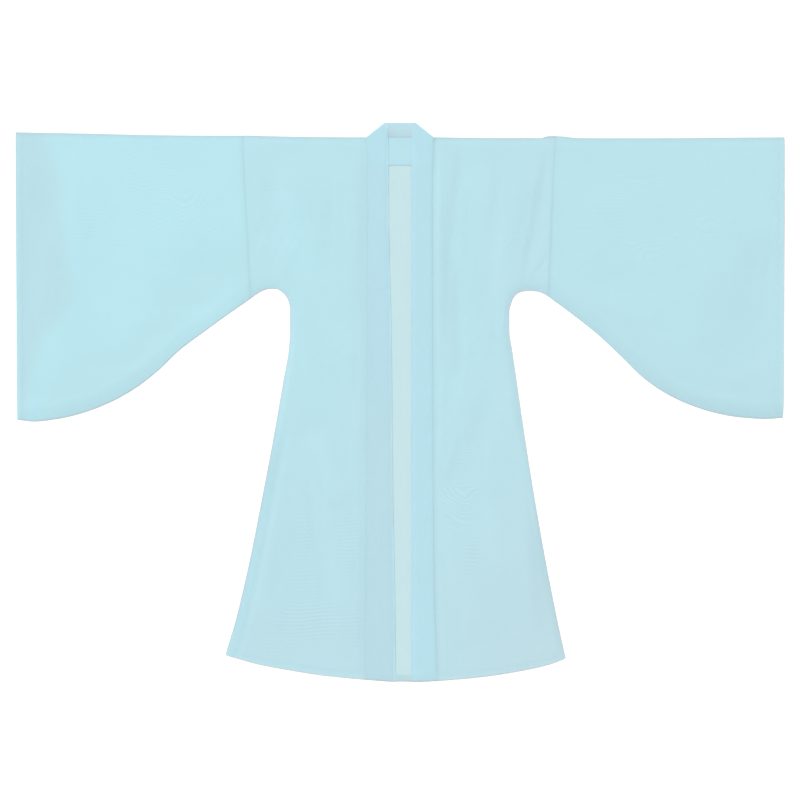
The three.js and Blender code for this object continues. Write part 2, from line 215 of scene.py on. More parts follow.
# Main folds of the upper layer: from x, from y, to x, to y, width, height
FOLDS = [
    (-815, 640, -850, 40, 80, 1.1),
    (-905, 600, -930, 90, 75, -2.0),
    (-740, 560, -700, 120, 85, -0.9),
    (-700, 330, -480, 470, 100, 0.9),
    (-640, 560, -430, 600, 80, -0.6),
    (-560, 300, -420, 350, 60, -0.9),
    (-325, 560, -320, 380, 48, -0.8),
    (-276, 600, -262, 300, 60, 1.6),
    (-182, 540, -184, 300, 52, -0.8),
    (-135, 620, -128, 180, 46, 1.1),
    (-225, 210, -205, -60, 62, 1.1),
    (-222, -70, -140, -270, 70, 1.8),
    (-262, -170, -178, -480, 58, -0.8),
    (-320, -220, -352, -600, 70, 1.5),
    (-130, -330, -150, -640, 60, 1.2),
    (118, 640, 106, 330, 44, 1.0),
    (150, 640, 128, 130, 50, -0.8),
    (196, 600, 190, 220, 60, 1.3),
    (372, 640, 292, 300, 60, -0.8),
    (320, 600, 250, 320, 58, 1.6),
    (205, 100, 110, -210, 64, 1.5),
    (182, -40, 108, -260, 54, -0.8),
    (250, 60, 268, -260, 64, 1.1),
    (170, -260, 205, -620, 76, 1.6),
    (318, -280, 366, -600, 56, 1.4),
    (430, 470, 690, 500, 90, 0.9),
    (470, 330, 640, 240, 70, -1.1),
    (640, 330, 790, 130, 85, 0.9),
    (790, 560, 800, 190, 80, 1.1),
    (905, 440, 885, 60, 80, -1.9),
    (720, 600, 900, 590, 70, 0.7),
]
LOFT_PRESSED = 0.9
LOFT_SLEEVE = 2.7
LOFT_MAX = 3.6
PRESSED_EASE = 20
SOFT_EASE = 40

# Small creases on the main folds, in the same form
CREASES = [
    # Left sleeve
    (-410, 310, -600, 420, 22, 0.30),
    (-405, 350, -560, 520, 20, -0.27),
    (-420, 270, -660, 330, 26, 0.34),
    (-450, 240, -690, 240, 24, -0.30),
    (-520, 190, -740, 190, 22, 0.27),
    (-600, 110, -800, 90, 24, -0.27),
    (-690, 60, -900, 30, 26, 0.27),
    (-820, 640, -800, 460, 20, 0.24),
    (-870, 560, -895, 320, 22, -0.34),
    (-880, 330, -940, 120, 24, 0.34),
    (-930, 640, -925, 430, 16, 0.27),
    (-730, 630, -640, 480, 26, -0.24),
    (-560, 640, -500, 470, 22, 0.20),
    # Left front
    (-385, 610, -372, 420, 14, 0.22),
    (-360, 330, -300, 520, 18, 0.35),
    (-340, 300, -262, 470, 16, -0.34),
    (-300, 300, -240, 430, 16, 0.27),
    (-310, 640, -300, 500, 18, -0.20),
    (-235, 640, -215, 420, 18, 0.27),
    (-170, 600, -165, 380, 15, -0.27),
    (-110, 560, -104, 300, 12, 0.27),
    (-105, 250, -110, -40, 13, -0.27),
    (-262, 200, -235, 20, 16, -0.30),
    (-180, 120, -150, -90, 18, 0.27),
    (-285, 20, -262, -190, 16, 0.27),
    (-120, -60, -110, -300, 14, 0.30),
    (-240, -190, -230, -380, 16, 0.30),
    (-205, -120, -180, -300, 14, -0.27),
    (-300, -300, -312, -520, 18, -0.30),
    (-210, -420, -225, -640, 18, 0.27),
    (-160, -400, -175, -600, 16, -0.27),
    (-108, -420, -112, -660, 13, 0.27),
    (-380, -430, -402, -610, 14, 0.27),
    # Right front
    (370, 620, 325, 430, 16, -0.41),
    (345, 560, 300, 350, 16, 0.41),
    (332, 430, 302, 290, 16, -0.35),
    (372, 370, 318, 292, 13, -0.47),
    (360, 330, 300, 285, 12, 0.34),
    (262, 420, 235, 250, 16, 0.30),
    (228, 610, 222, 430, 16, 0.27),
    (160, 560, 148, 330, 14, 0.32),
    (132, 470, 118, 240, 13, -0.35),
    (104, 600, 100, 420, 11, 0.27),
    (240, 240, 228, 60, 16, -0.27),
    (180, 180, 150, -10, 16, 0.30),
    (112, 120, 104, -130, 12, 0.27),
    (150, -60, 108, -200, 13, 0.35),
    (230, -40, 222, -240, 16, 0.27),
    (285, -40, 300, -260, 16, -0.30),
    (140, -230, 128, -430, 15, 0.27),
    (215, -250, 235, -470, 16, -0.27),
    (280, -330, 300, -540, 16, 0.27),
    (150, -440, 160, -660, 15, -0.27),
    (250, -470, 268, -660, 16, 0.27),
    (360, -420, 388, -610, 14, -0.34),
    # Right sleeve
    (410, 310, 560, 440, 22, 0.30),
    (410, 280, 620, 330, 24, -0.30),
    (440, 240, 640, 250, 22, 0.30),
    (500, 190, 720, 180, 24, -0.27),
    (600, 90, 800, 70, 24, 0.27),
    (700, 40, 900, 20, 24, -0.27),
    (480, 640, 520, 480, 22, 0.22),
    (650, 640, 640, 480, 24, -0.22),
    (820, 620, 840, 420, 20, 0.27),
    (880, 460, 850, 250, 20, 0.32),
    (930, 420, 905, 170, 20, -0.38),
    (780, 360, 720, 200, 24, 0.27),
]

# Creases of the back panel and of the sleeves' underlayers, which are nearly flat
BACK_CREASES = [
    (-300, 420, -240, 180, 26, 0.12),
    (-150, 560, -120, 260, 24, -0.1),
    (-40, 500, -30, 120, 22, 0.1),
    (70, 420, 60, 60, 24, -0.1),
    (230, 520, 250, 210, 26, 0.12),
    (-230, 20, -280, -360, 28, 0.12),
    (-120, -120, -140, -520, 26, -0.1),
    (20, -80, 10, -480, 22, 0.1),
    (120, -60, 150, -420, 26, 0.12),
    (260, -160, 300, -560, 28, -0.1),
    (-420, 330, -640, 420, 30, 0.12),
    (-520, 230, -760, 200, 32, -0.1),
    (-850, 560, -880, 120, 32, 0.12),
    (420, 330, 620, 440, 30, 0.12),
    (520, 220, 760, 180, 32, -0.1),
    (860, 560, 880, 120, 32, 0.12),
]

# Shade where layers of cloth touch, and light where the upper one stands free
SHADES = [
    # Left sleeve and front
    (-905, 560, -868, 430, 30, 0.12),
    (-868, 470, -880, 160, 30, 0.15),
    (-338, 590, -318, 380, 30, 0.12),
    (-190, 560, -184, 300, 28, 0.12),
    (-232, 250, -210, 40, 34, 0.08),
    (-252, -150, -190, -520, 26, 0.1),
    (-155, 580, -155, 290, 22, 0.22),
    (-276, 560, -262, 300, 28, -0.12),
    (-228, 480, -245, 270, 34, -0.28),
    (-232, -60, -140, -260, 30, -0.15),
    (-120, 60, -110, -120, 22, -0.08),
    # Right front
    (150, 650, 114, 420, 14, 0.22),
    (110, 520, 112, 100, 18, 0.3),
    (130, 380, 140, 40, 22, 0.34),
    (165, 580, 165, 200, 40, 0.16),
    (368, 650, 322, 350, 16, 0.24),
    (330, 430, 300, 270, 16, 0.24),
    (372, 380, 318, 286, 9, 0.3),
    (386, 560, 374, 300, 9, 0.2),
    (250, 440, 235, 190, 34, -0.25),
    (205, 40, 160, -120, 22, 0.12),
    (160, -60, 104, -230, 20, 0.12),
    (398, -330, 428, -620, 30, 0.35),
    (322, -240, 350, -600, 28, 0.42),
    (285, -60, 290, -280, 22, -0.18),
    (225, -220, 225, -460, 45, -0.22),
    (200, 620, 190, 260, 26, -0.06),
    (200, 100, 120, -190, 26, -0.1),
]

# Zones of painted shade, greyer and a little darker, over folds and where the cloth curves down toward
# its edges: outline, softness and strength
PAINTED_SHADE_ZONES = [
    # Left cuff
    (
        [
            (-975, 700), (-900, 690), (-880, 631), (-852, 560), (-845, 456), (-832, 356), (-816, 290),
            (-820, 246), (-850, 205), (-893, 160), (-915, 90), (-925, 43), (-945, -20), (-975, -20),
        ],
        27,
        0.5,
    ),
    # Lower part of the left sleeve
    (
        [
            (-380, 390), (-470, 345), (-600, 300), (-638, 200), (-700, 145), (-790, 115), (-890, 30),
            (-900, -60), (-600, -60), (-370, 230),
        ],
        30,
        0.2,
    ),
    # Left front, beside the band
    ([(-88, 640), (-120, 560), (-112, 200), (-130, -100), (-86, -140)], 22, 0.14),
    # Right front
    ([(95, 660), (150, 640), (132, 380), (136, 100), (104, 60), (98, 400)], 14, 0.1),
    ([(392, 660), (345, 640), (312, 430), (265, 300), (300, 270), (350, 400)], 16, 0.04),
    ([(395, 300), (345, 352), (318, 300), (345, 272)], 12, 0.04),
    ([(230, 420), (330, 320), (285, 60), (240, 120)], 30, 0.06),
    ([(355, -240), (352, -420), (332, -660), (440, -680), (380, -260)], 26, 0.08),
    ([(90, -380), (260, -330), (330, -500), (330, -720), (90, -720)], 50, 0.06),
    # Right cuff and right sleeve
    (
        [
            (975, 400), (870, 385), (830, 330), (775, 290), (762, 181), (780, 106), (850, 10),
            (975, -10),
        ],
        30,
        0.15,
    ),
    ([(380, 320), (560, 230), (680, 120), (860, 40), (930, -60), (600, -60), (370, 230)], 30, 0.1),
    ([(975, 700), (930, 690), (925, 520), (975, 420)], 20, 0.16),
]
ZONE_GREY = 0.72
ZONE_SHADE = 0.16

# Where two layers of weave cross into fine level ripples: middle x and y, half width, half height
# and strength
RIPPLES = [
    (-225, -545, 105, 62, 1.0),
    (-115, -560, 28, 60, 0.9),
    (-235, -450, 60, 60, 0.5),
    (-240, -330, 26, 90, 0.7),
    (-130, -350, 36, 110, 0.7),
    (-300, -600, 60, 50, 0.4),
    (180, -385, 26, 46, 1.0),
    (-560, 330, 60, 30, 0.3),
    (-790, 440, 40, 60, 0.5),
    (540, 470, 60, 60, 0.3),
]

# And where they cross into curls
SWIRLS = [
    (150, -210, 62, 130, 1.0),
    (140, 330, 40, 200, 0.3),
    (-640, 500, 230, 150, 0.6),
    (-320, 470, 60, 130, 0.5),
    (-480, 400, 80, 80, 0.5),
    (640, 460, 230, 160, 0.5),
    (860, 470, 60, 80, 0.5),
    (250, 420, 70, 160, 0.4),
    (-180, 60, 90, 200, 0.25),
    (230, -460, 90, 160, 0.35),
]


def share(a, b, t):
    return a + (b - a) * t


def smooth(value, low, high):
    t = np.clip((value - low) / (high - low), 0, 1)
    return t * t * (3 - 2 * t)


def near(gap, full, gone):
    """From 1 up to one distance from a line down to 0 past another."""
    return 1 - smooth(gap, full, gone)


def beside(gap, middle, width):
    """A soft stripe at a distance from a line."""
    return np.exp(-(((gap - middle) / width) ** 2))


def through(table, place, value):
    """Smooth curve through two columns of a table, without overshoot."""
    rows = sorted(table, key=lambda row: row[place])
    x = np.array([row[place] for row in rows], float)
    v = np.array([row[value] for row in rows], float)
    slope = np.diff(v) / np.diff(x)
    before = np.concatenate([slope[:1], slope])
    after = np.concatenate([slope, slope[-1:]])
    same_way = before * after > 0
    total = np.where(same_way, before + after, 1)
    tangent = np.where(same_way, 2 * before * after / total, 0)

    def curve(at):
        at = np.asarray(at, float)
        i = np.clip(np.searchsorted(x, at, side="right") - 1, 0, len(x) - 2)
        span = x[i + 1] - x[i]
        t = (at - x[i]) / span
        ends = (1 + 2 * t) * (1 - t) ** 2 * v[i] + t * t * (3 - 2 * t) * v[i + 1]
        pull = t * (1 - t) ** 2 * tangent[i] + t * t * (t - 1) * tangent[i + 1]
        return ends + pull * span

    return curve


top_edge = {"left": through(TOP_EDGE, 0, 1), "right": through(TOP_EDGE, 0, 2)}
side_seam = {"left": through(SIDE_SEAM, 0, 1), "right": through(SIDE_SEAM, 0, 2)}
sleeve_edge = {"left": through(SLEEVE_EDGE, 0, 1), "right": through(SLEEVE_EDGE, 0, 2)}
hem = through(HEM, 0, 1)
collar_seam = {"left": through(COLLAR_EDGES, 0, 1), "right": through(COLLAR_EDGES, 0, 4)}
collar_edge = {"left": through(COLLAR_EDGES, 0, 2), "right": through(COLLAR_EDGES, 0, 3)}
collar_level = through(COLLAR_LEVEL, 0, 1)


def top(x):
    return np.where(np.asarray(x) < 0, top_edge["left"](np.abs(x)), top_edge["right"](np.abs(x)))


def line_points(count, place):
    t = np.linspace(0, 1, count + 1)
    return np.stack(np.broadcast_arrays(*place(t)), axis=1)


def top_line(side):
    out = SIDES[side]
    return line_points(24, lambda t: (out * t * CUFF_TOP, top(out * t * CUFF_TOP)))


def sleeve_edge_line(side):
    start = abs(SLEEVE_SEAM_BOTTOM[side])
    distance = lambda t: share(start, CUFF_BOTTOM, t)
    return line_points(24, lambda t: (SIDES[side] * distance(t), sleeve_edge[side](distance(t))))


def side_line(side):
    level = lambda t: share(UNDERARM, HEM_CORNER[side], t)
    return line_points(16, lambda t: (side_seam[side](level(t)), level(t)))


def collar_line(side):
    level = lambda t: share(NECK_LEVEL, HEM_LOWEST, t)
    return line_points(16, lambda t: (collar_seam[side](level(t)), level(t)))


def sleeve_seam_line(side):
    high = SLEEVE_SEAM_TOP[side]
    low = SLEEVE_SEAM_BOTTOM[side]
    low_level = sleeve_edge[side](abs(low))
    return line_points(8, lambda t: (share(high, low, t), share(top(high), low_level, t)))


def hem_line():
    across = lambda t: share(HEM[0][0], HEM[-1][0], t)
    return line_points(32, lambda t: (across(t), hem(across(t))))


def underarm(side, t):
    """Place on the underarm edge, from 0 at the side seam to 1 at the sleeve seam."""
    last = len(UNDERARM_EDGE[side]) - 1
    steps = [(i / last, x, y) for i, (x, y) in enumerate(UNDERARM_EDGE[side])]
    return through(steps, 0, 1)(t), through(steps, 0, 2)(t)


def distance_to(lines, x, y):
    """Distance from each point to the nearest of some lines."""
    nearest = np.full(np.shape(x), np.inf)
    for line in lines:
        for (ax, ay), (bx, by) in zip(line[:-1], line[1:]):
            dx, dy = bx - ax, by - ay
            t = np.clip(((x - ax) * dx + (y - ay) * dy) / (dx * dx + dy * dy), 0, 1)
            nearest = np.minimum(nearest, np.hypot(x - ax - t * dx, y - ay - t * dy))
    return nearest


UNDERARM_LINES = [line_points(24, lambda t, side=side: underarm(side, t)) for side in SIDES]
SLEEVE_EDGE_LINES = [sleeve_edge_line(side) for side in SIDES]
TOP_LINES = [top_line(side) for side in SIDES]
SIDE_LINES = [side_line(side) for side in SIDES]
COLLAR_LINES = [collar_line(side) for side in SIDES]
SLEEVE_SEAM_LINES = [sleeve_seam_line(side) for side in SIDES]
HEM_LINES = [hem_line()]


def freedom(x, y):
    """From 0 on a line that holds the upper layer down to 1 out of its reach."""
    pressed = distance_to(TOP_LINES + SIDE_LINES + COLLAR_LINES + HEM_LINES, x, y)
    soft = distance_to(SLEEVE_EDGE_LINES + UNDERARM_LINES, x, y)
    return smooth(np.minimum(pressed / PRESSED_EASE, soft / SOFT_EASE), 0, 1)


def loft(x, y):
    """A pressed body, and sleeves that are fuller away from the fold along their top."""
    on_sleeve = smooth(np.abs(x), 330, 560)
    below_fold = smooth(top(x) - y, 0, 300)
    return share(LOFT_PRESSED, LOFT_SLEEVE, on_sleeve * below_fold)


def soft_forms(table, x, y):
    """Sum of long soft forms, each rounded across and fading toward its ends."""
    total = np.zeros(np.shape(x))
    for from_x, from_y, to_x, to_y, width, height in table:
        dx, dy = to_x - from_x, to_y - from_y
        length = math.hypot(dx, dy)
        along = ((x - from_x) * dx + (y - from_y) * dy) / length ** 2
        across = ((x - from_x) * dy - (y - from_y) * dx) / length
        rounded = np.maximum(0, 1 - (across / width) ** 2) ** 2
        faded = np.maximum(0, 1 - (2 * along - 1) ** 4) ** 2
        total += height * rounded * faded
    return total


def soft_zone(outline, softness, x, y):
    """From 0 outside an outline to 1 inside it, soft across its edge."""
    ring = np.array(outline + outline[:1], float)
    inside = np.zeros(np.shape(x), bool)
    for (ax, ay), (bx, by) in zip(ring[:-1], ring[1:]):
        if ay != by:
            crosses = ((ay > y) != (by > y)) & (x < (bx - ax) * (y - ay) / (by - ay) + ax)
            inside ^= crosses
    away = distance_to([ring], x, y)
    return smooth(np.where(inside, away, -away), -softness, softness)


def spots(table, x, y):
    """Highest of some round soft spots."""
    highest = np.zeros(np.shape(x))
    for middle_x, middle_y, half_width, half_height, strength in table:
        away = np.hypot((x - middle_x) / half_width, (y - middle_y) / half_height)
        highest = np.maximum(highest, strength * near(away, 0.5, 1.1))
    return highest


def puckers(x, y):
    """Uneven little gathers along the seams, from the tension of the thread."""
    along = np.where(distance_to(SLEEVE_SEAM_LINES + COLLAR_LINES, x, y) < 20, y, x + 0.6 * y)
    near_seam = distance_to(SLEEVE_SEAM_LINES + COLLAR_LINES + SIDE_LINES, x, y)
    near_hem = distance_to(HEM_LINES + TOP_LINES, x, y)
    wave = np.sin(along * 0.34 + 1.7 * np.sin(along * 0.047)) * (0.6 + 0.4 * np.sin(along * 0.021 + 1))
    seams = np.exp(-((near_seam - 7) / 6) ** 2)
    edges = 0.7 * np.exp(-((near_hem - 8) / 7) ** 2)
    return 0.1 * wave * (seams + edges)


def rise(x, y):
    """How far the upper layer stands off the lower one."""
    large = np.clip(loft(x, y) + soft_forms(FOLDS, x, y), 0, LOFT_MAX)
    return freedom(x, y) * (large + soft_forms(CREASES, x, y))


def seam_groove(x, y):
    return 0.35 * np.exp(-(distance_to(SLEEVE_SEAM_LINES, x, y) / 2.6) ** 2)


def sewn(x, y):
    """From 0 on the robe's sewn and folded edges to 1 away from them."""
    lines = TOP_LINES + SIDE_LINES + UNDERARM_LINES + SLEEVE_EDGE_LINES
    return smooth(distance_to(lines, x, y), 0, SEWN_EASE)


def inside_collar(x, y):
    """How far a point is past the collar's seam, under the collar."""
    left = x - collar_seam["left"](y)
    right = collar_seam["right"](y) - x
    return np.minimum(left, right)


def upper_height(x, y):
    free = FRONT_LEVEL + rise(x, y) + puckers(x, y) - seam_groove(x, y)
    return share(SEWN_FRONT_LEVEL, free, sewn(x, y))


def under_height(x, y):
    flat = BACK_LEVEL + soft_forms(BACK_CREASES, x, y).clip(-0.1, 0.2)
    return share(SEWN_BACK_LEVEL, flat, sewn(x, y))


def front_height(x, y):
    return share(upper_height(x, y), collar_level(y), smooth(inside_collar(x, y), -7, 1))


def back_height(x, y):
    lying = under_height(x, y)
    in_collar = smooth(y, NECK_LEVEL - 6, NECK_LEVEL + 4) * (np.abs(x) < NECK_HALF_WIDTH + 2)
    return share(lying, NECK_STRETCH_LEVEL, in_collar)


# Sheets


def add_grid(bm, across, down, place):
    """Adds a grid and takes each of its points, 0 to 1 across and down, to a place."""
    made = bmesh.ops.create_grid(bm, x_segments=across, y_segments=down, size=0.5)
    flat = np.array([vert.co.xy[:] for vert in made["verts"]])
    low = flat.min(axis=0)
    u, v = ((flat - low) / (flat.max(axis=0) - low)).T
    for vert, co in zip(made["verts"], np.stack(np.broadcast_arrays(*place(u, v)), axis=1)):
        vert.co = co * MM


def add_object(name, bm, material):
    mesh = bpy.data.meshes.new(name)
    bm.to_mesh(mesh)
    bm.free()
    mesh.materials.append(material)
    piece = bpy.data.objects.new(name, mesh)
    bpy.context.scene.collection.objects.link(piece)
    return piece


def finish_sheet(name, bm, material, marks):
    """Closes a sheet into a thin shell, marks its points and makes it an object."""
    bmesh.ops.remove_doubles(bm, verts=bm.verts[:], dist=MERGE * MM)
    bmesh.ops.recalc_face_normals(bm, faces=bm.faces[:])
    if sum(face.normal.z * face.calc_area() for face in bm.faces if face.normal.z > 0.2) <= 0:
        bmesh.ops.reverse_faces(bm, faces=bm.faces[:])
    bm.normal_update()
    for vert in bm.verts:
        vert.co += vert.normal * (PLY / 2 * MM)
    bmesh.ops.solidify(bm, geom=bm.faces[:], thickness=PLY * MM)
    piece = add_object(name, bm, material)
    mesh = piece.data
    mesh.shade_smooth()
    mesh.set_sharp_from_angle(angle=math.radians(SHARP_ANGLE))
    co = np.empty(len(mesh.vertices) * 3, np.float32)
    mesh.vertices.foreach_get("co", co)
    x, y, z = co.reshape(-1, 3).T / MM
    for mark, values in marks(x, y, z).items():
        layer = mesh.attributes.new(mark, "FLOAT", "POINT")
        layer.data.foreach_set("value", np.broadcast_to(values, x.shape).astype(np.float32))
    return piece


def cloth_sheet(name, patches, height, material, marks):
    """A sheet over patches of its plan, each an across and down count and a place in plan."""
    bm = bmesh.new()
    for across, down, plan in patches:

        def place(u, v, plan=plan):
            x, y = plan(u, v)
            return x, y, height(x, y)

        add_grid(bm, across, down, place)
    return finish_sheet(name, bm, material, marks)


def half_body(side, inner, columns, rows):
    """Plan of half of the body from an inner line to the side seam, with its piece of the arm."""

    def yoke(u, v):
        inner_x = inner(share(NECK_LEVEL, UNDERARM, v))
        x = share(inner_x, side_seam[side](UNDERARM), u)
        return x, share(top(x), UNDERARM, v)

    def skirt(u, v):
        hem_x = share(inner(HEM_LOWEST), side_seam[side](HEM_CORNER[side]), u)
        y = share(UNDERARM, hem(hem_x), v)
        side_x = side_seam[side](share(UNDERARM, HEM_CORNER[side], v))
        return share(inner(y), side_x, u), y

    def arm(u, v):
        low_x, low_y = underarm(side, u)
        high_x = share(side_seam[side](UNDERARM), SLEEVE_SEAM_TOP[side], u)
        return share(high_x, low_x, v), share(top(high_x), low_y, v)

    yoke_rows, skirt_rows, arm_columns = rows
    return [
        (columns, yoke_rows, yoke),
        (columns, skirt_rows, skirt),
        (arm_columns, yoke_rows, arm),
    ]


def on_hem_turn(x, y):
    return near(distance_to(HEM_LINES, x, y), HEM_TURN - 3, HEM_TURN + 1)


def on_side_turn(x, y):
    """Over the wide allowance of the left side seam."""
    width = SIDE_ALLOWANCE["left"]["width"]
    return near(distance_to(SIDE_LINES, x, y), width - 6, width + 1) * smooth(-y, -20, 160) * (x < 0)


def edge_shade(x, y):
    """Painted shade and light of the upper layer along its top fold, its hem and the sleeves' lower
    edges.
    """
    low_gap = distance_to(SLEEVE_EDGE_LINES + UNDERARM_LINES, x, y)
    # Painted light on the left sleeve's lower edge, which turns from the lamp, and painted shade along
    # the top fold, which faces it
    away_from_light = near(low_gap, 28, 80) * smooth(-x, 350, 480)
    away_from_light *= share(0.2, 0.6, smooth(x, -750, -380))
    shade = np.where(x < 0, 0.05, 0.2) * near(low_gap, 6, 34) - away_from_light
    return shade + 0.8 * near(distance_to(TOP_LINES, x, y), 3, 19) - 0.35 * on_hem_turn(x, y)


def seam_shade(x, y):
    """Shade of the upper layer along its seams and over their allowances."""
    on_left = x < 0
    sleeve_seam = distance_to(SLEEVE_SEAM_LINES, x, y)
    collar_gap = -inside_collar(x, y)
    side_gap = distance_to(SIDE_LINES, x, y)
    shade = 0.5 * near(sleeve_seam, 0.8, 4.5) + 0.12 * near(sleeve_seam, 4, 11)
    shade += np.where(on_left, 0.1, 0.5) * near(collar_gap, 2, 16) + 0.35 * near(collar_gap, 0.5, 4)
    shade += share(0.42, 0.25, smooth(-y, 480, 640)) * on_side_turn(x, y)
    # Painted highlight along the inner edge of the left side seam's allowance
    shade -= 0.3 * beside(side_gap, 35, 7) * smooth(-y, 0, 200) * on_left
    side_crease = beside(side_gap, 11, 4) * smooth(-y, 60, 160)
    shade += np.where(on_left, 0.4, -0.4 * smooth(y, -420, -300)) * side_crease
    down_side = np.where(on_left, smooth(-y, -20, 160), smooth(-y, 230, 330)) * smooth(y, -640, -500)
    return shade + 0.35 * near(side_gap, 2, 8) * down_side


def cloth_marks(x, y, z):
    """Shade, greyness and weave patterns of the upper layer."""
    shade = soft_forms(SHADES, x, y) + edge_shade(x, y) + seam_shade(x, y)
    # Greyer toward the hem and the right: partly the cloth's own tone, partly painted shade where the
    # lamp's light falls off from the upper left
    grey = 0.3 * smooth(-y, -300, 680) + 0.14 * smooth(x, 80, 330) + 0.08 * smooth(x, 384, 396)
    grey -= 0.25 * on_side_turn(x, y)
    # Each zone of painted shade turns the cloth greyer and a little darker
    for outline, softness, strength in PAINTED_SHADE_ZONES:
        zone = strength * soft_zone(outline, softness, x, y)
        grey += ZONE_GREY * zone
        shade += ZONE_SHADE * zone
    edge = distance_to(TOP_LINES + SLEEVE_EDGE_LINES + UNDERARM_LINES + SIDE_LINES + HEM_LINES, x, y)
    return {
        "shade": shade,
        "grey": np.maximum(grey, near(edge, 0.5, 5)),
        "ripple": spots(RIPPLES, x, y),
        "swirl": spots(SWIRLS, x, y),
    }


def plain_marks(shade, grey):
    return {"shade": shade, "grey": grey, "ripple": 0.0, "swirl": 0.0}


def back_marks(x, y, z):
    """Shade and greyness of the back, over its hem turn and allowances and beside the bands."""
    shade = 0.2 * on_hem_turn(x, y) + 0.3 * near(distance_to(SIDE_LINES, x, y), 8, 14)
    shade += 0.1 * near(np.abs(np.abs(x) - OPEN_HALF_WIDTH), 0, 7)
    edge = distance_to(TOP_LINES + UNDERARM_LINES + SIDE_LINES + HEM_LINES, x, y)
    return plain_marks(shade, near(edge, 0.5, 5))


def add_back(material):
    """The back panel, whose top goes up between the plies of the collar's neck stretch."""
    columns, neck_columns = 44, 12

    def plan(side):
        out = SIDES[side]

        def neck(u, v):
            base = np.abs(side_seam[side](UNDERARM)) * neck_columns / columns
            x = out * u * share(base - NECK_TAPER, base, v)
            return x, share(NECK_LEVEL + BAND_ALLOWANCE, top(x), v)

        half = half_body(side, lambda y: 0 * y, columns, (80, 170, 20))
        return half + [(neck_columns, 3, neck)]

    return cloth_sheet("back_panel", plan("left") + plan("right"), back_height, material, back_marks)


def add_front(side, material):
    """A front panel, whose inner edge goes in between the plies of the collar."""
    out = SIDES[side]
    inner = lambda y: collar_seam[side](y) - out * BAND_ALLOWANCE
    plan = half_body(side, inner, 66, (124, 250, 28))
    return cloth_sheet(f"front_panel_{side}", plan, front_height, material, cloth_marks)


def sleeve_places(side, start, end, inset, counts):
    """Places on a sleeve: along it from start to end, and round it from its lower seam."""
    out = SIDES[side]
    upper_count, fold_count, under_count = counts
    total = upper_count + under_count + 2 * fold_count
    from_edge = PLY / 2 + (SEWN_FRONT_LEVEL - SEWN_BACK_LEVEL) / 2
    if inset > 0:
        from_edge = CUFF_TURN_GAP
    ends = np.cumsum([upper_count, fold_count, under_count, fold_count]) / total

    def place(u, v):
        along = share(start, end, u)
        top_x = share(out * CUFF_TOP, SLEEVE_SEAM_TOP[side], along)
        low_x = share(out * CUFF_BOTTOM, SLEEVE_SEAM_BOTTOM[side], along)
        top_y = top(top_x) - from_edge
        low_y = sleeve_edge[side](np.abs(low_x)) + from_edge
        on_upper = v <= ends[0] + 1e-9
        on_top_fold = ~on_upper & (v < ends[1] - 1e-9)
        on_under = ~on_upper & ~on_top_fold & (v <= ends[2] + 1e-9)
        t = np.where(on_upper, v / ends[0], 0)
        t = np.where(on_top_fold, 1, t)
        t = np.where(on_under, 1 - (v - ends[1]) / (ends[2] - ends[1]), t)
        x = share(low_x, top_x, t)
        y = share(low_y, top_y, t)
        round_top = math.pi * (0.5 - (v - ends[0]) / (ends[1] - ends[0]))
        round_low = -math.pi * (0.5 + (v - ends[2]) / (ends[3] - ends[2]))
        angle = np.where(on_top_fold, round_top, round_low)
        on_fold = ~on_upper & ~on_under
        z_upper = upper_height(x, y) - inset
        z_under = under_height(x, y) + inset
        middle = (z_upper + z_under) / 2
        radius = (z_upper - z_under) / 2
        z = np.where(on_upper, z_upper, z_under)
        z = np.where(on_fold, middle + radius * np.sin(angle), z)
        y = np.where(on_fold, y + radius * np.cos(angle), y)
        return x, y, z

    return total, place


def sleeve_marks(x, y, z):
    """The upper layer's marks, with the cuff's turn-up and its edge."""
    marks = cloth_marks(x, y, z)
    cuff_gap = np.abs(np.abs(x) - CUFF_TOP)
    marks["shade"] -= np.where(x < 0, 0.22, 0.1) * near(cuff_gap, CUFF_TURN - 3, CUFF_TURN + 1)
    marks["grey"] = np.maximum(marks["grey"], 0.8 * near(cuff_gap, 0.5, 6))
    return marks


def add_sleeve(side, material):
    """A sleeve, one tube pressed flat: a fold along its top and a seam along its lower edge."""
    bm = bmesh.new()
    round_count, place = sleeve_places(side, 0, 1, 0, (118, 6, 70))
    add_grid(bm, 104, round_count, place)
    return finish_sheet(f"sleeve_cloth_{side}", bm, material, sleeve_marks)


def add_cuff_turn(side, material):
    """The cuff's turn-up, inside the sleeve."""
    bm = bmesh.new()
    length = abs(CUFF_TOP - abs(SLEEVE_SEAM_TOP[side]))
    ends = (CUFF_INSET / length, CUFF_TURN / length)
    round_count, place = sleeve_places(side, *ends, STRIP_GAP, (60, 6, 60))
    add_grid(bm, 4, round_count, place)
    return finish_sheet(f"cuff_turn_{side}", bm, material, sleeve_marks)


def add_hem_turn(name, ends, columns, height, drop, material, marks):
    """A hem's turn-up, a strip inside the robe along the hem."""

    def plan(u, v):
        x = share(*ends, u)
        return x, hem(x) + share(HEM_INSET, HEM_TURN, v)

    def strip_height(x, y):
        return height(x, y) - drop

    return cloth_sheet(name, [(columns, 5, plan)], strip_height, material, marks)


def add_strip(name, line, reach, height, counts, material, marks):
    """A strip inside the robe along a line, between two distances to the side of it."""
    steps = np.linspace(0, 1, len(line))

    def plan(u, v):
        x = np.interp(u, steps, line[:, 0]) + share(*reach, v)
        return x, np.interp(u, steps, line[:, 1])

    along, across = counts
    return cloth_sheet(name, [(along, across, plan)], height, material, marks)


